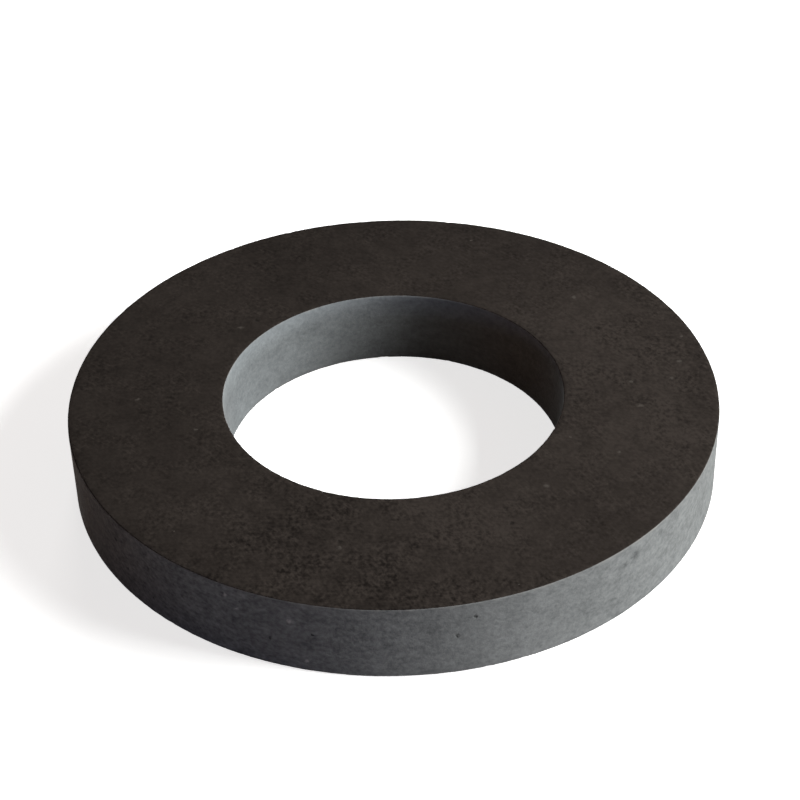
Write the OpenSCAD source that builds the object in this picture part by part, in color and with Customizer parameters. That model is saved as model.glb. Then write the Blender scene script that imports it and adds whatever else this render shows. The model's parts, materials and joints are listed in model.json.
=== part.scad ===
// Flat ring magnet: one pressed and sintered ferrite ring.
// The two pole faces are ground flat and parallel, and the outer wall and the bore wall are plain cylinders.
// The lower pole face lies on z = 0, and the bore runs along +Z through the origin.

/* [Ring] */
// Outer diameter of the ring
outer_d = 80; // [60:1:160]
// Diameter of the bore
bore_d = 42; // [12:1:52]
// Thickness from pole face to pole face
thickness = 10; // [4:0.5:30]

/* [Edges] */
// Radius of the eased edges where the pole faces meet the walls
edge_r = 0.2; // [0.1:0.05:1.5]

/* [Hidden] */

// Radius of the outer wall
outer_r = outer_d / 2;
// Radius of the bore wall
bore_r = bore_d / 2;
// Width of the pole faces' annulus, wall to wall
band_w = outer_r - bore_r;
// Straight height of both walls, between the eased edges
wall_h = thickness - 2 * edge_r;
// Flat width of both pole faces, between the eased edges
face_w = band_w - 2 * edge_r;

// Segments round the ring and round an eased edge
ring_segments = 256;
edge_segments = 48;

// Dark charcoal of the ferrite
ferrite = [0.19, 0.18, 0.17];

// Radial section of the ring, x from the bore wall to the outer wall and y from pole face to pole face
module ring_section() {
    // full height between the eased edges
    translate([bore_r + edge_r, 0])
        square([face_w, thickness]);
    // full width between the eased edges
    translate([bore_r, edge_r])
        square([band_w, wall_h]);
    // one quarter of each disc rounds one corner
    for (x = [bore_r + edge_r, outer_r - edge_r])
        for (y = [edge_r, thickness - edge_r])
            translate([x, y])
                circle(r = edge_r, $fn = edge_segments);
}

// The whole ring, turned from its section
module ring_magnet() {
    color(ferrite)
        rotate_extrude($fn = ring_segments)
            ring_section();
}

ring_magnet();
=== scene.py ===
"""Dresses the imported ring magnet: one sintered ferrite ring with ground pole faces and as-fired walls.

The ring is a closed surface over two parameters: the azimuth round the bore, and the way round its section.
Everything is in metres, in the frame's own axes, with the bore along +Z and the lower pole face on z = 0.
"""

import json
import math
from collections import namedtuple

import bpy
import numpy as np
from bpy.props import FloatProperty, FloatVectorProperty, IntProperty, PointerProperty
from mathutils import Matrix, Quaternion, Vector


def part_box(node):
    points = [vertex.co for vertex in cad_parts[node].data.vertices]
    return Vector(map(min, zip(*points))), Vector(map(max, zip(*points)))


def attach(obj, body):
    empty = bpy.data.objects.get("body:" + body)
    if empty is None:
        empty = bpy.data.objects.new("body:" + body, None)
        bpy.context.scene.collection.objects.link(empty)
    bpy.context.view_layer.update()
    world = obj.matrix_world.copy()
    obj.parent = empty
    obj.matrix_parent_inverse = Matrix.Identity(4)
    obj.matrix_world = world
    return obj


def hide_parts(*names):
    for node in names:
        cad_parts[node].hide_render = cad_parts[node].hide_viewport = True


bl_info = {
    "name": "Ring Magnet",
    "version": (1, 0, 0),
    "blender": (4, 5, 0),
    "location": "3D View > Sidebar > Ring Magnet",
    "description": "A sintered ferrite ring with ground pole faces and as-fired walls",
    "category": "Add Mesh",
}

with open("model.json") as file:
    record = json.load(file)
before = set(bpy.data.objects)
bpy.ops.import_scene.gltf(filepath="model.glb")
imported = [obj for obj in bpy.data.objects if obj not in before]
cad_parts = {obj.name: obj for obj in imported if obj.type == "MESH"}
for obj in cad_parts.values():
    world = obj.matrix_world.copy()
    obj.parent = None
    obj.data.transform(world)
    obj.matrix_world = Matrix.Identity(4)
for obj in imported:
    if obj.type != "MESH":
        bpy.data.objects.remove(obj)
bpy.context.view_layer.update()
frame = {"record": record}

MM = 0.001
NODE = "ring_magnet"
PIECE = "ferrite_ring"

# The ring's driving sizes, as the frame holds them
mounts = {mount["name"]: mount for mount in frame["record"]["mounts"]}
lowest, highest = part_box(NODE)
OUTER_DIAMETER = highest.x - lowest.x
BORE_DIAMETER = 2 * mounts["bore"]["dims"]["r_mm"] * MM
THICKNESS = highest.z - lowest.z
EDGE_RADIUS = (THICKNESS - mounts["bore"]["dims"]["length_mm"] * MM) / 2


# The plain ring -----------------------------------------------------------------------------------

# The section's four straight runs, in order
RUNS = OUTER_WALL, UPPER_FACE, BORE_WALL, LOWER_FACE = range(4)
# What is added to a run's number for the eased edge after it
EASED = len(RUNS)
# How strongly the places on a straight run crowd together at its ends
CROWDING = 2.0

# Radius and height of each place, its outward direction, its way along the section, and its run
Section = namedtuple("Section", "radius height out_r out_z along run")


def graded(steps):
    """Places from 0 up to but not at 1, crowded at both ends: half of 1 + tanh(c(2u - 1)) / tanh(c)."""
    u = np.arange(steps) / steps
    return 0.5 * (1 + np.tanh(CROWDING * (2 * u - 1)) / math.tanh(CROWDING))


def trace_section(ring):
    """The section's outline, once round anticlockwise from the foot of the outer wall.

    A straight run is start (1 - t) + end t with graded t. The eased edge after it is a quarter
    circle, centre + edge radius (cos a, sin a), whose angle starts at the run's outward direction.
    """
    bore, outer = ring.bore_diameter / 2, ring.outer_diameter / 2
    ease, top = ring.edge_radius, ring.thickness
    traced = {
        OUTER_WALL: ((outer, ease), (outer, top - ease), (outer - ease, top - ease), ring.wall_steps),
        UPPER_FACE: ((outer - ease, top), (bore + ease, top), (bore + ease, top - ease), ring.face_steps),
        BORE_WALL: ((bore, top - ease), (bore, ease), (bore + ease, ease), ring.wall_steps),
        LOWER_FACE: ((bore + ease, 0.0), (outer - ease, 0.0), (outer - ease, ease), ring.face_steps),
    }
    places, outward, runs = [], [], []
    for run, (start, end, centre, steps) in traced.items():
        facing = run * math.pi / 2
        t = graded(steps)[:, None]
        places.append(np.array(start) * (1 - t) + np.array(end) * t)
        outward.append(np.tile((math.cos(facing), math.sin(facing)), (steps, 1)))
        runs.append(np.full(steps, run))
        angle = facing + np.arange(ring.edge_steps) / ring.edge_steps * math.pi / 2
        ray = np.stack([np.cos(angle), np.sin(angle)], axis=1)
        places.append(np.array(centre) + ease * ray)
        outward.append(ray)
        runs.append(np.full(ring.edge_steps, run + EASED))
    places, outward = np.concatenate(places), np.concatenate(outward)
    lengths = np.linalg.norm(np.diff(places, axis=0), axis=1)
    along = np.concatenate([[0.0], np.cumsum(lengths)])
    return Section(*places.T, *outward.T, along, np.concatenate(runs))


# Wear and firing marks, as depths cut into the plain ring -----------------------------------------

# Turns round the ring of the rubbing's slowest and fastest waves, and how many waves there are
RUBBING_TURNS = (3, 420)
RUBBING_WAVES = 26
# Reach of the rubbing across an edge, over the edge radius
RUBBING_REACH = 1.2

# Smallest chip over the largest, before the power that makes small chips the common ones
SMALLEST_CHIP = 0.3
CHIP_POWER = 2.5
# Width of a chip over its length, and how far its middle may lie off the edge, over its half width
CHIP_BREADTH = 0.6
CHIP_OFFSET = 0.8

# Turns round the ring of the walls' waves, and their steepest lean in radians a metre
RIPPLE_TURNS = (5, 9, 14, 23, 37, 52)
RIPPLE_LEAN = 400.0
# Distance from an eased edge over which the waves rise to their full height
RIPPLE_FADE = 1.6 * MM


def edge_middles(ring, section):
    """Way along the section to the middle of each eased edge, and the radius where the edge starts."""
    first = [int(np.argmax(section.run == run + EASED)) for run in RUNS]
    half_arc = ring.edge_radius * math.pi / 4
    return [(section.along[i] + half_arc, section.radius[i]) for i in first]


def unevenness(rng, azimuth):
    """A pattern from 0 to 1 round the ring: half of 1 + w, with w cut off at -1 and 1.

    w is a sum of cosines over the root of their number. Their turns round the ring run evenly on a
    log scale from the slowest to the fastest, and their phases are random.
    """
    turns = np.round(np.geomspace(*RUBBING_TURNS, RUBBING_WAVES))
    phases = rng.uniform(0, 2 * math.pi, RUBBING_WAVES)
    waves = np.cos(azimuth[:, None] * turns + phases).sum(axis=1) / math.sqrt(RUBBING_WAVES)
    return 0.5 + 0.5 * np.clip(waves, -1, 1)


def edge_wear(rng, ring, azimuth, section):
    """Rubbed edges: a depth that is uneven round the ring, times exp(-(d / reach) squared) across them.

    d is the way along the section from the middle of the edge.
    """
    reach = RUBBING_REACH * ring.edge_radius
    depth = np.zeros((len(azimuth), len(section.along)))
    for middle, _ in edge_middles(ring, section):
        rubbed = ring.edge_wear * unevenness(rng, azimuth)
        depth += rubbed[:, None] * np.exp(-(((section.along - middle) / reach) ** 2))
    return depth


def edge_chips(rng, ring, azimuth, section):
    """Small chips on the edges: each cuts depth (1 - x x - y y) where that is above 0.

    x is the way round the ring over the chip's half length, and y the way across the edge over its
    half width. Their sizes are random, with many small and few large, and so are their places.
    """
    depth = np.zeros((len(azimuth), len(section.along)))
    for middle, radius in edge_middles(ring, section):
        share = rng.uniform(SMALLEST_CHIP, 1.0, ring.chips_per_edge)[:, None, None] ** CHIP_POWER
        place = rng.uniform(-math.pi, math.pi, share.shape)
        half_length = ring.chip_length / 2 * share
        half_width = CHIP_BREADTH * half_length
        off_edge = half_width * rng.uniform(-CHIP_OFFSET, CHIP_OFFSET, share.shape)
        across = section.along - middle - off_edge
        around = (azimuth[:, None] - place + math.pi) % (2 * math.pi) - math.pi
        x, y = around * radius / half_length, across / half_width
        cuts = ring.chip_depth * share * np.clip(1 - x**2 - y**2, 0, None)
        depth = np.maximum(depth, cuts.max(axis=0))
    return depth


def wall_ripple(rng, ring, azimuth, section):
    """Slight waviness of the walls from pressing and firing: half of 1 + the mean of leaning waves.

    A wave is cos(turns azimuth + lean height + phase), with a random lean and phase. The depth is
    the ripple's height times that, and it rises smoothly from 0 at the eased edges.
    """
    room = np.minimum(section.height, ring.thickness - section.height) - ring.edge_radius
    fade = np.clip(room / RIPPLE_FADE, 0, 1)
    on_wall = np.isin(section.run, (OUTER_WALL, BORE_WALL)) * fade**2 * (3 - 2 * fade)
    total = np.zeros((len(azimuth), len(section.along)))
    for turns in RIPPLE_TURNS:
        lean, phase = rng.uniform(-RIPPLE_LEAN, RIPPLE_LEAN), rng.uniform(0, 2 * math.pi)
        total += np.cos(turns * azimuth[:, None] + lean * section.height + phase)
    return ring.wall_ripple * (0.5 + 0.5 * total / len(RIPPLE_TURNS)) * on_wall


# The worn ring's mesh -----------------------------------------------------------------------------

def ring_points(ring):
    """The ring's points over azimuth and section, and the section that they follow.

    A point is (radius cos azimuth, radius sin azimuth, height), from its place on the section, which
    is first moved against its outward direction by the depth of wear there: that of the rubbing or
    of the chips, whichever is deeper, plus that of the ripple.
    """
    rng = np.random.default_rng(ring.seed)
    azimuth = np.arange(ring.azimuth_steps) / ring.azimuth_steps * 2 * math.pi - math.pi
    section = trace_section(ring)
    rubbed = edge_wear(rng, ring, azimuth, section)
    depth = np.maximum(rubbed, edge_chips(rng, ring, azimuth, section))
    depth += wall_ripple(rng, ring, azimuth, section)
    radius = section.radius - depth * section.out_r
    height = section.height - depth * section.out_z
    x, y = radius * np.cos(azimuth)[:, None], radius * np.sin(azimuth)[:, None]
    return np.stack([x, y, height], axis=-1), section


def ring_quads(corner):
    """The quads between neighbouring azimuths and places, joined up both ways and facing outwards.

    corner holds each point's number, over azimuth and section.
    """
    next_azimuth = np.roll(corner, -1, axis=0)
    sides = [corner, next_azimuth, np.roll(next_azimuth, -1, axis=1), np.roll(corner, -1, axis=1)]
    return np.stack(sides, axis=-1)


def ground_quads(section):
    """True for the quads of the section that face more up or down than sideways."""
    upright = (section.out_z + np.roll(section.out_z, -1)) / 2
    return np.abs(upright) > math.sqrt(0.5)


def ring_mesh(ring):
    """The ring's mesh, with the first material on its ground quads and the second on all others.

    The attribute edge is 1 on the eased edges, and bore is 1 on the bore's side of the ring.
    """
    points, section = ring_points(ring)
    corner = np.arange(points[..., 0].size).reshape(points.shape[:2])
    quads = ring_quads(corner)
    mesh = bpy.data.meshes.new(PIECE)
    mesh.vertices.add(corner.size)
    mesh.vertices.foreach_set("co", points.ravel())
    mesh.loops.add(quads.size)
    mesh.loops.foreach_set("vertex_index", quads.ravel())
    mesh.polygons.add(corner.size)
    mesh.polygons.foreach_set("loop_start", np.arange(0, quads.size, quads.shape[-1]))
    mesh.polygons.foreach_set("use_smooth", np.ones(corner.size, bool))
    slots = np.broadcast_to(np.where(ground_quads(section), 0, 1), corner.shape)
    mesh.polygons.foreach_set("material_index", slots.ravel())
    on_edge = section.run >= EASED
    in_bore = section.radius < (ring.bore_diameter + ring.outer_diameter) / 4
    for name, marked in (("edge", on_edge), ("bore", in_bore)):
        values = np.broadcast_to(marked.astype(np.float32), corner.shape)
        mesh.attributes.new(name, "FLOAT", "POINT").data.foreach_set("value", values.ravel())
    mesh.update(calc_edges=True)
    return mesh


# Nodes --------------------------------------------------------------------------------------------

# Size of the noise that makes the outlines of marks ragged, and how far it moves them
RAGGED_SIZE = 0.45 * MM
RAGGED_REACH = 0.35 * MM
# Radius inside which a speck is at its full strength, over its whole radius
SPECK_CORE = 0.3
# Sockets of the Mix node that hold its factor, its two colours and its result
MIX_FACTOR, MIX_FIRST, MIX_SECOND, MIX_RESULT = 0, 6, 7, 2


def feed(tree, socket, value):
    """Links value to the socket if it is an output, and otherwise sets it there."""
    if isinstance(value, bpy.types.NodeSocket):
        tree.links.new(value, socket)
    else:
        socket.default_value = value


def add_node(tree, kind, inputs=None, **settings):
    """A node with these settings, each of whose inputs is a value or the output that feeds it."""
    made = tree.nodes.new(kind)
    for name, value in settings.items():
        setattr(made, name, value)
    for name, value in (inputs or {}).items():
        feed(tree, made.inputs[name], value)
    return made


class Finish:
    """A new material, with the few kinds of pattern that the ferrite's finishes are put together from."""

    def __init__(self, name):
        self.material = bpy.data.materials.new(name)
        self.material.use_nodes = True
        self.tree = self.material.node_tree
        self.shader = self.tree.nodes["Principled BSDF"]
        self.place = self.node("ShaderNodeTexCoord").outputs["Object"]
        self.ragged = self.ragged_place()

    def node(self, kind, inputs=None, **settings):
        """A node of this material."""
        return add_node(self.tree, kind, inputs, **settings)

    def math(self, operation, *values):
        """The result of a Math node."""
        return self.node("ShaderNodeMath", dict(enumerate(values)), operation=operation).outputs[0]

    def vector(self, operation, result, *values):
        """A result of a Vector Math node."""
        inputs = dict(enumerate(values))
        return self.node("ShaderNodeVectorMath", inputs, operation=operation).outputs[result]

    def ragged_place(self):
        """The place, moved by cloudy noise up to about the ragged reach each way."""
        inputs = {"Vector": self.place, "Scale": 1 / RAGGED_SIZE}
        cloud = self.node("ShaderNodeTexNoise", inputs).outputs["Color"]
        moved = self.vector("MULTIPLY_ADD", "Vector", cloud, (2 * RAGGED_REACH,) * 3, self.place)
        return self.vector("SUBTRACT", "Vector", moved, (RAGGED_REACH,) * 3)

    def noise(self, lengths, detail=2.0, roughness=0.5, place=None):
        """Cloudy noise, about 0.5 on average, whose features are about that long each way."""
        inputs = {"Vector": place or self.place, "Scale": [1 / length for length in lengths]}
        stretched = self.node("ShaderNodeMapping", inputs).outputs[0]
        inputs = {"Vector": stretched, "Scale": 1.0, "Detail": detail, "Roughness": roughness}
        return self.node("ShaderNodeTexNoise", inputs).outputs["Fac"]

    def ramp(self, value, low, high):
        """0 up to low, 1 from high, and a smooth slope between them. low may be above high."""
        inputs = {"Value": value, "From Min": low, "From Max": high}
        return self.node("ShaderNodeMapRange", inputs, interpolation_type="SMOOTHSTEP").outputs[0]

    def product(self, value, *others):
        """All the values multiplied together."""
        for other in others:
            value = self.math("MULTIPLY", value, other)
        return value

    def added(self, total, *weighted):
        """The total plus, for each (pattern, weight), weight times the pattern."""
        for pattern, weight in weighted:
            total = self.math("MULTIPLY_ADD", pattern, weight, total)
        return total

    def swing(self, *weighted, middle=0.5):
        """The middle plus, for each (pattern, weight), weight times what the pattern is above 0.5."""
        return self.added(middle - 0.5 * sum(weight for _, weight in weighted), *weighted)

    def blend(self, share, first, second, how="MIX"):
        """The colour that goes from first to second, or to their product, as share goes from 0 to 1."""
        inputs = {MIX_FACTOR: share, MIX_FIRST: first, MIX_SECOND: second}
        return self.node("ShaderNodeMix", inputs, data_type="RGBA", blend_type=how).outputs[MIX_RESULT]

    def spots(self, marks):
        """1 in the middle of each mark, given as a place and a radius, and 0 from its radius outwards."""
        total = 0.0
        for place, radius in marks:
            away = self.vector("DISTANCE", "Value", self.ragged, place)
            total = self.math("MAXIMUM", total, self.ramp(away, radius, 0.0))
        return total

    def specks(self, spacing, radius, limit):
        """Specks on a loose lattice of this spacing: 1 in their middle, and 0 from radius outwards.

        A cell of the lattice has one where its random brightness, from 0 to 1, is below the limit.
        """
        cells = self.node("ShaderNodeTexVoronoi", {"Vector": self.ragged, "Scale": 1 / spacing})
        chosen = self.math("LESS_THAN", cells.outputs["Color"], limit)
        size = radius / spacing
        return self.product(chosen, self.ramp(cells.outputs["Distance"], size, SPECK_CORE * size))

    def coat(self, colour, roughness, gloss, *relief):
        """Gives the shader its colour, roughness and specular level, and a bumpy normal.

        The relief is given as parts (pattern, height in metres), which are added up.
        """
        feed(self.tree, self.shader.inputs["Base Color"], colour)
        feed(self.tree, self.shader.inputs["Roughness"], roughness)
        feed(self.tree, self.shader.inputs["Specular IOR Level"], gloss)
        height = self.added(0.0, *((pattern, part / MM) for pattern, part in relief))
        bump = self.node("ShaderNodeBump", {"Height": height, "Strength": 1.0, "Distance": MM})
        feed(self.tree, self.shader.inputs["Normal"], bump.outputs[0])


# Ground pole faces --------------------------------------------------------------------------------

# Lengths of the clouds, patches, grain and torn areas along x, y and z
FACE_CLOUDS = (7.0 * MM, 7.0 * MM, 7.0 * MM)
FACE_PATCHES = (2.0 * MM, 2.4 * MM, 1.7 * MM)
FACE_GRAIN = (0.48 * MM, 0.6 * MM, 0.48 * MM)
TORN_AREAS = (5.0 * MM, 5.0 * MM, 5.0 * MM)
# Noise between which the grain goes from sound to torn out, and an arc from nothing to a scratch
TORN_RANGE = (0.40, 0.62)
SCRATCH_RANGE = (0.56, 0.74)

# Radius of the grinding wheel's path, and length, pitch and depth of the arcs that it leaves
WHEEL_RADIUS = 180 * MM
ARC_LENGTHS = (1.8 * MM, 0.32 * MM, 1.0 * MM)
# Turns of the two passes under the wheel in radians, so that their arcs cross
PASSES = (0.1, 0.9)

# Weight in the tone of the clouds and of each part of the fine texture
FACE_CLOUD_WEIGHT = 0.5
FACE_PATCH_WEIGHT = 0.9
ARC_WEIGHT = 0.45
CROSSING_WEIGHT = 0.4
# Strength of the texture, what coarse patches add to it, and what torn areas add to the grain's
TEXTURE_STRENGTH = 0.6
COARSE_STRENGTH = 0.6
TORN_STRENGTH = 1.3
# Weight in the tone of the scratches, and of the broad patches of painted light and painted shade
SCRATCH_WEIGHT = 0.22
FACE_LIT_WEIGHT = 0.26
FACE_SHADE_WEIGHT = -0.24

# Spacing and radius of the pores and specks, and the random brightness below which a cell has one
FACE_PORES = (0.9 * MM, 0.24 * MM, 0.45)
FACE_SPECKS = (2.6 * MM, 0.22 * MM, 0.25)
# How strong a pore is over a pit, and how fully flecks and pits cover the face's own colour
PORE_STRENGTH = 0.3
FLECK_COVER = 0.6
FACE_PIT_COVER = 0.6

# Weight in the roughness of the grain and of the arcs, their heights, and the depth of the pits
FACE_ROUGHNESS_WEIGHT = 0.3
FACE_GRAIN_HEIGHT = 0.012 * MM
ARC_HEIGHT = 0.006 * MM
FACE_PIT_DEPTH = 0.05 * MM

# Marks on the upper pole face, each given by x, y and radius in mm
FACE_FLECKS = (
    (30.0, -4.5, 0.5),
    (36.0, 4.5, 0.5),
    (17.5, -19.5, 0.5),
    (24.0, 19.5, 0.45),
    (-31.5, -0.5, 0.45),
    (29.5, 0.5, 0.4),
    (-19.5, 14.5, 0.55),
    (-24.0, -7.0, 0.4),
    (37.0, 10.0, 0.4),
    (-6.5, -29.5, 0.4),
    (34.5, 1.0, 0.4),
    (26.5, -13.5, 0.4),
)
FACE_PITS = (
    (23.0, 11.5, 0.6),
    (25.0, -1.5, 0.4),
    (-6.5, -28.5, 0.45),
    (-14.5, -26.0, 0.4),
    (-17.5, 16.0, 0.5),
    (13.0, -26.0, 0.45),
    (12.5, -23.5, 0.45),
    (28.5, 0.0, 0.35),
)
# Broad patches of painted light, lighter on the face's side towards the key lamp, of painted shade, darker
# on its far side and back, and patches that are ground more coarsely
FACE_LIT_PATCHES = ((25.0, 11.0, 19.0), (30.0, -10.0, 25.0), (9.0, -24.0, 18.0))
FACE_SHADE_PATCHES = ((30.0, 42.0, 28.0), (-16.0, 46.0, 32.0), (-50.0, 6.0, 30.0), (-47.0, -26.0, 28.0))
COARSE_PATCHES = ((-3.0, -36.0, 36.0), (38.0, 2.0, 36.0))


def face_spots(finish, ring, marks):
    """1 in the middle of each mark on the upper pole face, and 0 from its radius outwards."""
    return finish.spots(((x * MM, y * MM, ring.thickness), radius * MM) for x, y, radius in marks)


def grinding_arcs(finish, turn):
    """Short arcs that the grinding wheel leaves on a pole face: noise drawn out round a far centre.

    The place is turned about the bore, and moved so that the wheel's centre is its origin. The
    noise reads the arc length at the wheel's radius, and the distance from the wheel's centre.
    """
    inputs = {"Vector": finish.place, "Location": (0.0, WHEEL_RADIUS, 0.0), "Rotation": (0.0, 0.0, turn)}
    from_wheel = finish.node("ShaderNodeMapping", inputs).outputs[0]
    parts = finish.node("ShaderNodeSeparateXYZ", {0: from_wheel}).outputs
    distance = finish.vector("LENGTH", "Value", from_wheel)
    arc = finish.product(finish.math("ARCTAN2", parts["X"], parts["Y"]), WHEEL_RADIUS)
    place = finish.node("ShaderNodeCombineXYZ", {0: arc, 1: distance, 2: parts["Z"]}).outputs[0]
    return finish.noise(ARC_LENGTHS, detail=1, place=place)


def ground_texture(finish, grain, arcs, crossing, torn):
    """The fine texture, about 0: patches, crossing arcs, and a grain that is stronger where it is torn."""
    patches = finish.noise(FACE_PATCHES, detail=3, roughness=0.6)
    weighted = (patches, FACE_PATCH_WEIGHT), (arcs, ARC_WEIGHT), (crossing, CROSSING_WEIGHT)
    strength = finish.added(1.0, (torn, TORN_STRENGTH))
    speckle = finish.product(finish.swing((grain, 1.0), middle=0.0), strength)
    return finish.math("ADD", finish.swing(*weighted, middle=0.0), speckle)


def ground_tone(finish, ring, texture, crossing, torn):
    """From 0, the darkest, to 1, the lightest: clouds, texture, scratches, and broad patches of painted
    light towards the key lamp and painted shade away from it.
    """
    clouds = finish.swing((finish.noise(FACE_CLOUDS), FACE_CLOUD_WEIGHT))
    coarse = face_spots(finish, ring, COARSE_PATCHES)
    scratches = finish.product(torn, finish.ramp(crossing, *SCRATCH_RANGE))
    return finish.added(
        clouds,
        (texture, finish.added(TEXTURE_STRENGTH, (coarse, COARSE_STRENGTH))),
        (scratches, SCRATCH_WEIGHT),
        # Painted light: the face is made lighter on the key lamp's side; painted shade: darker on its far
        # side and back
        (face_spots(finish, ring, FACE_LIT_PATCHES), FACE_LIT_WEIGHT),
        (face_spots(finish, ring, FACE_SHADE_PATCHES), FACE_SHADE_WEIGHT),
    )


def ground_finish(look, ring):
    """Ground pole face: warm charcoal with soft clouds, a fine grain, grinding arcs, flecks and pits."""
    finish = Finish("ground_ferrite")
    grain = finish.noise(FACE_GRAIN, roughness=0.6)
    arcs, crossing = (grinding_arcs(finish, turn) for turn in PASSES)
    torn = finish.ramp(finish.noise(TORN_AREAS), *TORN_RANGE)
    texture = ground_texture(finish, grain, arcs, crossing, torn)
    tone = ground_tone(finish, ring, texture, crossing, torn)
    flecks = finish.math("MAXIMUM", face_spots(finish, ring, FACE_FLECKS), finish.specks(*FACE_SPECKS))
    pores = finish.product(torn, finish.specks(*FACE_PORES), PORE_STRENGTH)
    pits = finish.math("MAXIMUM", face_spots(finish, ring, FACE_PITS), pores)
    colour = finish.blend(tone, look.ground_dark, look.ground_light)
    colour = finish.blend(finish.product(flecks, FLECK_COVER), colour, look.fleck)
    colour = finish.blend(finish.product(pits, FACE_PIT_COVER), colour, look.pit)
    finish.coat(
        colour,
        finish.swing((grain, FACE_ROUGHNESS_WEIGHT), (arcs, FACE_ROUGHNESS_WEIGHT)),
        look.ground_gloss,
        (grain, FACE_GRAIN_HEIGHT),
        (arcs, ARC_HEIGHT),
        (pits, -FACE_PIT_DEPTH),
    )
    return finish.material


# As-fired walls -----------------------------------------------------------------------------------

# Lengths of the soft blotches, the clouds and the grain along x, y and z
WALL_BLOTCHES = (6.0 * MM, 6.0 * MM, 4.0 * MM)
WALL_CLOUDS = (2.2 * MM, 2.2 * MM, 1.2 * MM)
WALL_GRAIN = (0.6 * MM, 0.6 * MM, 0.45 * MM)
# Cloud noise between which an eased edge goes from fired skin to rubbed bare
BARE_RANGE = (0.35, 0.75)

# Weight in the tone of the blotches and of each part of the fine texture
BLOTCH_WEIGHT = 0.35
WALL_CLOUD_WEIGHT = 0.7
WALL_GRAIN_WEIGHT = 0.9
# What the bore and scuffed patches add to the strength of the texture
BORE_STRENGTH = -0.3
SCUFFED_STRENGTH = 0.9
# Weight in the tone of the painted light and painted shade patches, and of the smudges
WALL_LIT_WEIGHT = 0.14
WALL_SHADE_WEIGHT = -0.15
SMUDGE_WEIGHT = -0.4

# Spacing and radius of the small pits, and the random brightness below which a cell has one
WALL_SPECKS = (2.6 * MM, 0.22 * MM, 0.3)
# How fully chips and pits cover the skin's own colour
CHIP_COVER = 0.8
WALL_PIT_COVER = 0.75

# Weight in the roughness of the grain and of the blotches
GRAIN_ROUGHNESS_WEIGHT = 0.2
BLOTCH_ROUGHNESS_WEIGHT = 0.3
# Heights of the grain and of the clouds, and depth of the pits
WALL_GRAIN_HEIGHT = 0.045 * MM
WALL_CLOUD_HEIGHT = 0.045 * MM
WALL_PIT_DEPTH = 0.06 * MM

# Marks on the outer wall, each given by azimuth in degrees, and height and radius in mm
WALL_PITS = (
    (216.0, 7.0, 0.45),
    (225.0, 6.5, 0.4),
    (249.0, 4.0, 0.45),
    (279.0, 5.5, 0.45),
    (282.0, 8.0, 0.4),
)
WALL_CHIPS = (
    (241.5, 8.5, 0.4),
    (243.5, 7.0, 0.3),
    (252.5, 7.0, 0.5),
    (255.0, 1.5, 0.35),
)
WALL_SMUDGES = ((309.5, 7.5, 0.7), (312.0, 8.0, 0.9), (318.5, 8.5, 0.8))
# Broad patches of the outer wall: scuffed ones; painted light, lighter where the wall turns away from the
# key lamp; painted shade, darker where it faces that lamp and at the shaded left end; and painted warm
# shade, tinted brown at that left end
SCUFFED_PATCHES = ((232.0, 4.0, 36.0),)
WALL_LIT_PATCHES = ((288.0, 5.0, 14.0),)
WALL_SHADE_PATCHES = ((340.0, 5.0, 12.0), (202.0, 4.0, 22.0))
OUTER_SHADE_TINTS = ((200.0, 5.0, 28.0),)
# Broad patches of painted warm shade on the shaded side of the bore wall, tinted brown, given in the same
# way
BORE_SHADE_TINTS = ((35.0, 5.0, 18.0),)


def wall_spots(finish, diameter, marks):
    """1 in the middle of each mark on the wall of this diameter, and 0 from its radius outwards."""
    half = diameter / 2
    turned = ((math.radians(azimuth), height * MM, size * MM) for azimuth, height, size in marks)
    return finish.spots(
        ((half * math.cos(turn), half * math.sin(turn), height), size) for turn, height, size in turned
    )


def fired_tone(finish, ring, clouds, grain, blotches, bore):
    """From 0, the darkest, to 1, the lightest: blotches, clouds, grain, smudges, and broad patches of
    painted light and painted shade.
    """
    painted_lit, dark, smudged, scuffed = (
        wall_spots(finish, ring.outer_diameter, marks)
        for marks in (WALL_LIT_PATCHES, WALL_SHADE_PATCHES, WALL_SMUDGES, SCUFFED_PATCHES)
    )
    texture = finish.swing((clouds, WALL_CLOUD_WEIGHT), (grain, WALL_GRAIN_WEIGHT), middle=0.0)
    return finish.added(
        finish.swing((blotches, BLOTCH_WEIGHT)),
        (texture, finish.added(1.0, (bore, BORE_STRENGTH), (scuffed, SCUFFED_STRENGTH))),
        # Painted light and painted shade: broad patches made lighter or darker where the lamps leave the
        # wall too dim or too bright
        (painted_lit, WALL_LIT_WEIGHT),
        (dark, WALL_SHADE_WEIGHT),
        (smudged, SMUDGE_WEIGHT),
    )


def fired_colour(finish, look, ring, tone, bore):
    """The skin's own colour for this tone, a little bluer in the bore, and browner where warm shade is
    painted on the shaded sides of the outer wall and the bore.
    """
    dark = finish.blend(bore, look.skin_dark, look.bore_dark)
    light = finish.blend(bore, look.skin_light, look.bore_light)
    # Painted warm shade: a brown tint where the outer wall and the bore lie in shade
    outer_shade_tints = wall_spots(finish, ring.outer_diameter, OUTER_SHADE_TINTS)
    bore_shade_tints = wall_spots(finish, ring.bore_diameter, BORE_SHADE_TINTS)
    shade_tinted = finish.math("MAXIMUM", outer_shade_tints, bore_shade_tints)
    return finish.blend(shade_tinted, finish.blend(tone, dark, light), look.shade_tint, "MULTIPLY")


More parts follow.
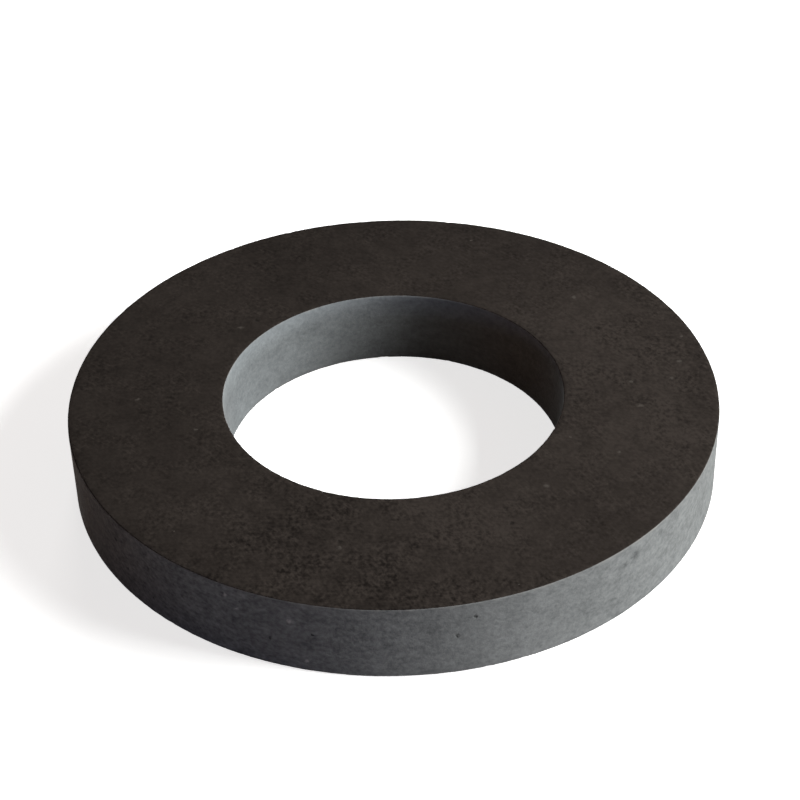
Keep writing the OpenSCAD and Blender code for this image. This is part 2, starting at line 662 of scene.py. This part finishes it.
def fired_finish(look, ring):
    """As-fired wall: cool grey skin with dull grain, soft blotches, painted light and shade, pits, chips and
    rubbed edges.
    """
    finish = Finish("fired_ferrite")
    blotches = finish.noise(WALL_BLOTCHES)
    clouds = finish.noise(WALL_CLOUDS, detail=3, roughness=0.6)
    grain = finish.noise(WALL_GRAIN, roughness=0.6)
    bore = finish.node("ShaderNodeAttribute", attribute_name="bore").outputs["Fac"]
    edge = finish.node("ShaderNodeAttribute", attribute_name="edge").outputs["Fac"]
    bare = finish.product(edge, finish.ramp(clouds, *BARE_RANGE))
    chips = wall_spots(finish, ring.outer_diameter, WALL_CHIPS)
    pits = wall_spots(finish, ring.outer_diameter, WALL_PITS)
    pits = finish.math("MAXIMUM", pits, finish.specks(*WALL_SPECKS))
    pits = finish.product(pits, finish.math("SUBTRACT", 1.0, bore))
    tone = fired_tone(finish, ring, clouds, grain, blotches, bore)
    colour = finish.blend(bare, fired_colour(finish, look, ring, tone, bore), look.worn_edge)
    colour = finish.blend(finish.product(chips, CHIP_COVER), colour, look.chip)
    colour = finish.blend(finish.product(pits, WALL_PIT_COVER), colour, look.pit)
    finish.coat(
        colour,
        finish.swing((grain, GRAIN_ROUGHNESS_WEIGHT), (blotches, BLOTCH_ROUGHNESS_WEIGHT)),
        look.skin_gloss,
        (grain, WALL_GRAIN_HEIGHT),
        (clouds, WALL_CLOUD_HEIGHT),
        (pits, -WALL_PIT_DEPTH),
    )
    return finish.material


# Stage --------------------------------------------------------------------------------------------

# Side of the floor
FLOOR_SIZE = 6.0
# Gap under the ring that keeps its lower face and the floor from lying in one plane
FLOOR_GAP = 0.02 * MM
# Distances from the ring's middle between which the floor's own glow rises to full white
GLOW_RISE = (0.15, 0.6)

# The ring's middle, which the camera and the lamps stand round
MIDDLE = Vector((0, 0, THICKNESS / 2))

# What is set for each lamp: where it stands, the size of its sheet, and its light
Lamp = namedtuple("Lamp", "azimuth elevation distance width height level colour")
# The lamps' defaults, with angles in degrees and lengths in metres
LAMPS = {
    "key": Lamp(357, 29, 0.7, 0.45, 0.36, 2.05, (0.98, 1.0, 0.99)),
    "side": Lamp(344, 3, 0.7, 0.16, 0.05, 0.5, (0.95, 1.0, 1.0)),
    "front": Lamp(272, 3, 0.7, 0.2, 0.06, 0.11, (0.6, 0.68, 1.0)),
    "back": Lamp(95, 8, 0.8, 0.2, 0.2, 0.45, (1.0, 0.98, 0.95)),
}


def towards(azimuth, elevation):
    """The unit direction at an azimuth from +X towards +Y, and at an elevation above the floor."""
    flat = math.cos(elevation)
    return Vector((flat * math.cos(azimuth), flat * math.sin(azimuth), math.sin(elevation)))


def shown_ray(tree):
    """1 for the rays that show the floor and the background: camera, glossy and transmission rays."""
    rays = add_node(tree, "ShaderNodeLightPath").outputs
    shown = rays["Is Camera Ray"]
    for name in ("Is Glossy Ray", "Is Transmission Ray"):
        shown = add_node(tree, "ShaderNodeMath", {0: shown, 1: rays[name]}, operation="MAXIMUM").outputs[0]
    return shown


def floor_glow(tree, stage):
    """White light from the floor, at the set level near the ring and rising to full white far from it."""
    place = add_node(tree, "ShaderNodeTexCoord").outputs["Object"]
    away = add_node(tree, "ShaderNodeVectorMath", {0: place}, operation="LENGTH").outputs["Value"]
    near, far = GLOW_RISE
    inputs = {"Value": away, "From Min": near, "From Max": far, "To Min": stage.floor_glow}
    strength = add_node(tree, "ShaderNodeMapRange", inputs).outputs[0]
    return add_node(tree, "ShaderNodeEmission", {"Strength": strength}).outputs[0]


def floor_material(stage):
    """White where it is seen, with the ring's shadow kept, and a dull bounce for the light on the ring."""
    material = bpy.data.materials.new("pale_floor")
    material.use_nodes = True
    tree = material.node_tree
    tree.nodes.remove(tree.nodes["Principled BSDF"])
    bounce, seen = (
        add_node(tree, "ShaderNodeBsdfDiffuse", {"Color": (*colour, 1)}).outputs[0]
        for colour in (stage.floor_bounce, stage.floor_colour)
    )
    seen = add_node(tree, "ShaderNodeAddShader", {0: seen, 1: floor_glow(tree, stage)}).outputs[0]
    choice = add_node(tree, "ShaderNodeMixShader", {0: shown_ray(tree), 1: bounce, 2: seen})
    feed(tree, tree.nodes["Material Output"].inputs["Surface"], choice.outputs[0])
    return material


def add_floor(stage):
    """A large level sheet just under the ring."""
    half = FLOOR_SIZE / 2
    corners = [(-half, -half), (half, -half), (half, half), (-half, half)]
    mesh = bpy.data.meshes.new("floor")
    mesh.from_pydata([(x, y, -FLOOR_GAP) for x, y in corners], [], [(0, 1, 2, 3)])
    mesh.materials.append(floor_material(stage))
    floor = bpy.data.objects.new("floor", mesh)
    bpy.context.scene.collection.objects.link(floor)


def add_world(stage):
    """White where it is seen, and a dim warm light from all round for the ring."""
    world = bpy.data.worlds.new("studio")
    world.use_nodes = True
    tree = world.node_tree
    room = tree.nodes["Background"]
    feed(tree, room.inputs["Color"], (*stage.room_colour, 1))
    feed(tree, room.inputs["Strength"], stage.room_level)
    white = add_node(tree, "ShaderNodeBackground", {"Color": (1, 1, 1, 1)})
    inputs = {0: shown_ray(tree), 1: room.outputs[0], 2: white.outputs[0]}
    choice = add_node(tree, "ShaderNodeMixShader", inputs)
    feed(tree, tree.nodes["World Output"].inputs["Surface"], choice.outputs[0])
    bpy.context.scene.world = world


def add_lamp(stage, name):
    """A soft lamp that faces the ring's middle, with the settings whose names start with its own.

    Its power is level times pi squared times distance squared, which renders a white sheet that
    faces it at about that level. Only the key lamp shows in the gloss.
    """
    lamp = Lamp(*(getattr(stage, f"{name}_{setting}") for setting in Lamp._fields))
    light = bpy.data.lights.new(name, "AREA")
    light.shape = "RECTANGLE"
    light.size, light.size_y = lamp.width, lamp.height
    light.energy = lamp.level * (math.pi * lamp.distance) ** 2
    light.color = lamp.colour
    direction = towards(lamp.azimuth, lamp.elevation)
    holder = bpy.data.objects.new(name, light)
    holder.location = MIDDLE + direction * lamp.distance
    holder.rotation_mode = "QUATERNION"
    holder.rotation_quaternion = (-direction).to_track_quat("-Z", "Y")
    holder.visible_camera = False
    holder.visible_glossy = name == "key"
    bpy.context.scene.collection.objects.link(holder)


def add_camera(stage):
    """The camera in front of the ring, aimed at a point of its middle plane and rolled about its view."""
    place = MIDDLE + towards(-math.pi / 2, stage.camera_elevation) * stage.camera_distance
    aim = MIDDLE + Vector((stage.aim_x, stage.aim_y, 0))
    lens = bpy.data.cameras.new("camera")
    lens.lens = stage.camera_lens
    camera = bpy.data.objects.new("camera", lens)
    camera.location = place
    camera.rotation_mode = "QUATERNION"
    unrolled = (aim - place).to_track_quat("-Z", "Y")
    camera.rotation_quaternion = unrolled @ Quaternion((0, 0, 1), stage.camera_roll)
    bpy.context.scene.collection.objects.link(camera)
    bpy.context.scene.camera = camera


# Settings -----------------------------------------------------------------------------------------

def length_setting(name, description, default):
    """A length from 0 upwards."""
    return FloatProperty(
        name=name, description=description, default=default, min=0.0, precision=5, unit="LENGTH"
    )


def offset_setting(name, description, default):
    """A distance along an axis, either way."""
    return FloatProperty(name=name, description=description, default=default, precision=5, unit="LENGTH")


def angle_setting(name, description, degrees):
    """An angle, whose default is given in degrees."""
    return FloatProperty(name=name, description=description, default=math.radians(degrees), unit="ROTATION")


def level_setting(name, description, default):
    """A plain number from 0 upwards."""
    return FloatProperty(name=name, description=description, default=default, min=0.0)


def count_setting(name, description, default):
    """A whole number from 1 upwards."""
    return IntProperty(name=name, description=description, default=default, min=1)


def colour_setting(name, description, default):
    """A colour, which has an alpha if its default has one."""
    return FloatVectorProperty(
        name=name,
        description=description,
        default=default,
        size=len(default),
        subtype="COLOR",
        min=0.0,
        max=1.0,
    )


def lamp_settings(name, lamp):
    """The settings of one lamp, under names that start with its own, in the order of a lamp's fields."""
    title = name.capitalize()
    settings = (
        angle_setting(f"{title} azimuth", f"Direction of the {name} lamp", lamp.azimuth),
        angle_setting(f"{title} elevation", f"Height of the {name} lamp as an angle", lamp.elevation),
        length_setting(f"{title} distance", f"From the {name} lamp to the ring's middle", lamp.distance),
        length_setting(f"{title} width", f"Width of the {name} lamp's sheet", lamp.width),
        length_setting(f"{title} height", f"Height of the {name} lamp's sheet", lamp.height),
        level_setting(f"{title} level", "How bright it renders a white sheet that faces it", lamp.level),
        colour_setting(f"{title} colour", f"Colour of the {name} lamp", lamp.colour),
    )
    return {f"{name}_{field}": setting for field, setting in zip(Lamp._fields, settings)}


class RingSizes(bpy.types.PropertyGroup):
    """Sizes of the ring, of its mesh and of its wear."""

    outer_diameter: length_setting("Outer diameter", "Diameter of the outer wall", OUTER_DIAMETER)
    bore_diameter: length_setting("Bore diameter", "Diameter of the bore wall", BORE_DIAMETER)
    thickness: length_setting("Thickness", "Height from pole face to pole face", THICKNESS)
    edge_radius: length_setting("Edge radius", "Radius of the four eased edges", EDGE_RADIUS)
    azimuth_steps: count_setting("Azimuth steps", "Quads round the ring", 1200)
    wall_steps: count_setting("Wall steps", "Quads up each wall", 18)
    face_steps: count_setting("Face steps", "Quads across each pole face", 10)
    edge_steps: count_setting("Edge steps", "Quads round each eased edge", 6)
    edge_wear: length_setting("Edge wear", "Deepest rubbing of the eased edges", 0.03 * MM)
    chips_per_edge: count_setting("Chips per edge", "Small chips on each eased edge", 40)
    chip_length: length_setting("Chip length", "Length of the largest chip along its edge", 1.1 * MM)
    chip_depth: length_setting("Chip depth", "Depth of the largest chip", 0.08 * MM)
    wall_ripple: length_setting("Wall ripple", "Height of the walls' waviness", 0.02 * MM)
    seed: IntProperty(name="Seed", description="Seed of the random wear", default=7)


class FerriteLook(bpy.types.PropertyGroup):
    """Colours and gloss of the ferrite."""

    ground_dark: colour_setting("Ground, dark", "Darkest of the pole faces", (0.0121, 0.0099, 0.0088, 1))
    ground_light: colour_setting("Ground, light", "Lightest of the pole faces", (0.0433, 0.0357, 0.0314, 1))
    skin_dark: colour_setting("Skin, dark", "Darkest of the outer wall", (0.0801, 0.0829, 0.0833, 1))
    skin_light: colour_setting("Skin, light", "Lightest of the outer wall", (0.2136, 0.2191, 0.2174, 1))
    bore_dark: colour_setting("Bore, dark", "Darkest of the bore wall", (0.0880, 0.0945, 0.0985, 1))
    bore_light: colour_setting("Bore, light", "Lightest of the bore wall", (0.2340, 0.2490, 0.2560, 1))
    worn_edge: colour_setting("Worn edge", "Eased edges rubbed bare", (0.1785, 0.1749, 0.1678, 1))
    fleck: colour_setting("Fleck", "Light flecks on the pole faces", (0.1012, 0.0904, 0.0809, 1))
    # Painted warm shade: this brown tint multiplies the colour on the shaded sides of the outer wall and the
    # bore
    shade_tint: colour_setting("Stain", "Tint of the brown stains on the walls", (0.96, 0.79, 0.69, 1))
    chip: colour_setting("Chip", "Fresh small chips on the outer wall", (0.42, 0.41, 0.39, 1))
    pit: colour_setting("Pit", "Bottom of the small pits", (0.0119, 0.0107, 0.0095, 1))
    ground_gloss: level_setting("Ground gloss", "Specular level of the pole faces", 0.006)
    skin_gloss: level_setting("Skin gloss", "Specular level of the walls", 0.002)


class StageSettings(bpy.types.PropertyGroup):
    """Camera, floor and light round the ring. The settings of the lamps are added below."""

    camera_elevation: angle_setting("Camera elevation", "Height of the camera as an angle", 37.3)
    camera_distance: length_setting("Camera distance", "Camera to the ring's middle", 254.3 * MM)
    camera_roll: angle_setting("Camera roll", "Turn of the camera about its view", -1.38)
    camera_lens: level_setting("Camera lens", "Focal length in mm on a sensor 36 mm wide", 91.5)
    aim_x: offset_setting("Aim X", "Where the camera aims, along X", 0.83 * MM)
    aim_y: offset_setting("Aim Y", "Where the camera aims, along Y", 4.62 * MM)
    room_colour: colour_setting("Room colour", "Light from all round on the ring", (1.0, 0.64, 0.50))
    room_level: level_setting("Room level", "Strength of the light from all round", 0.061)
    floor_colour: colour_setting("Floor colour", "Floor where it is seen", (0.9, 0.9, 0.9))
    floor_bounce: colour_setting("Floor bounce", "Floor as it throws light on the ring", (0.33, 0.30, 0.28))
    floor_glow: level_setting("Floor glow", "White added to the floor near the ring", 0.73)


for lamp_name, lamp_defaults in LAMPS.items():
    StageSettings.__annotations__.update(lamp_settings(lamp_name, lamp_defaults))


# Operators and panel ------------------------------------------------------------------------------

class MESH_OT_ferrite_ring_add(bpy.types.Operator):
    """Add the ferrite ring in place of the plain solid"""

    bl_idname = "mesh.ferrite_ring_add"
    bl_label = "Ferrite Ring"
    bl_options = {"REGISTER", "UNDO"}

    def execute(self, context):
        scene = context.scene
        mesh = ring_mesh(scene.ring_sizes)
        mesh.materials.append(ground_finish(scene.ferrite_look, scene.ring_sizes))
        mesh.materials.append(fired_finish(scene.ferrite_look, scene.ring_sizes))
        ring = bpy.data.objects.new(PIECE, mesh)
        scene.collection.objects.link(ring)
        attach(ring, "root")
        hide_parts(NODE)
        return {"FINISHED"}


class SCENE_OT_magnet_stage_add(bpy.types.Operator):
    """Add the floor, the soft studio light and the camera"""

    bl_idname = "scene.magnet_stage_add"
    bl_label = "Studio Stage"
    bl_options = {"REGISTER", "UNDO"}

    def execute(self, context):
        stage = context.scene.magnet_stage
        add_floor(stage)
        add_world(stage)
        for name in LAMPS:
            add_lamp(stage, name)
        add_camera(stage)
        context.scene.view_settings.view_transform = "Standard"
        return {"FINISHED"}


class VIEW3D_PT_ring_magnet(bpy.types.Panel):
    """Settings of the ring and its stage, and the buttons that add them"""

    bl_label = "Ring Magnet"
    bl_space_type = "VIEW_3D"
    bl_region_type = "UI"
    bl_category = "Ring Magnet"

    def draw(self, context):
        """Lists every setting, and then the two operators."""
        scene = context.scene
        for group in (scene.ring_sizes, scene.ferrite_look, scene.magnet_stage):
            box = self.layout.box()
            for name in group.__annotations__:
                box.prop(group, name)
        self.layout.operator(MESH_OT_ferrite_ring_add.bl_idname)
        self.layout.operator(SCENE_OT_magnet_stage_add.bl_idname)


CLASSES = (
    RingSizes,
    FerriteLook,
    StageSettings,
    MESH_OT_ferrite_ring_add,
    SCENE_OT_magnet_stage_add,
    VIEW3D_PT_ring_magnet,
)


def register():
    """Registers the classes, and puts the settings on the scene."""
    for cls in CLASSES:
        bpy.utils.register_class(cls)
    bpy.types.Scene.ring_sizes = PointerProperty(type=RingSizes)
    bpy.types.Scene.ferrite_look = PointerProperty(type=FerriteLook)
    bpy.types.Scene.magnet_stage = PointerProperty(type=StageSettings)


def unregister():
    """Takes the settings off the scene, and unregisters the classes."""
    del bpy.types.Scene.magnet_stage
    del bpy.types.Scene.ferrite_look
    del bpy.types.Scene.ring_sizes
    for cls in reversed(CLASSES):
        bpy.utils.unregister_class(cls)


def main():
    """Adds the ring and its stage."""
    register()
    bpy.ops.mesh.ferrite_ring_add()
    bpy.ops.scene.magnet_stage_add()


if __name__ == "__main__":
    main()
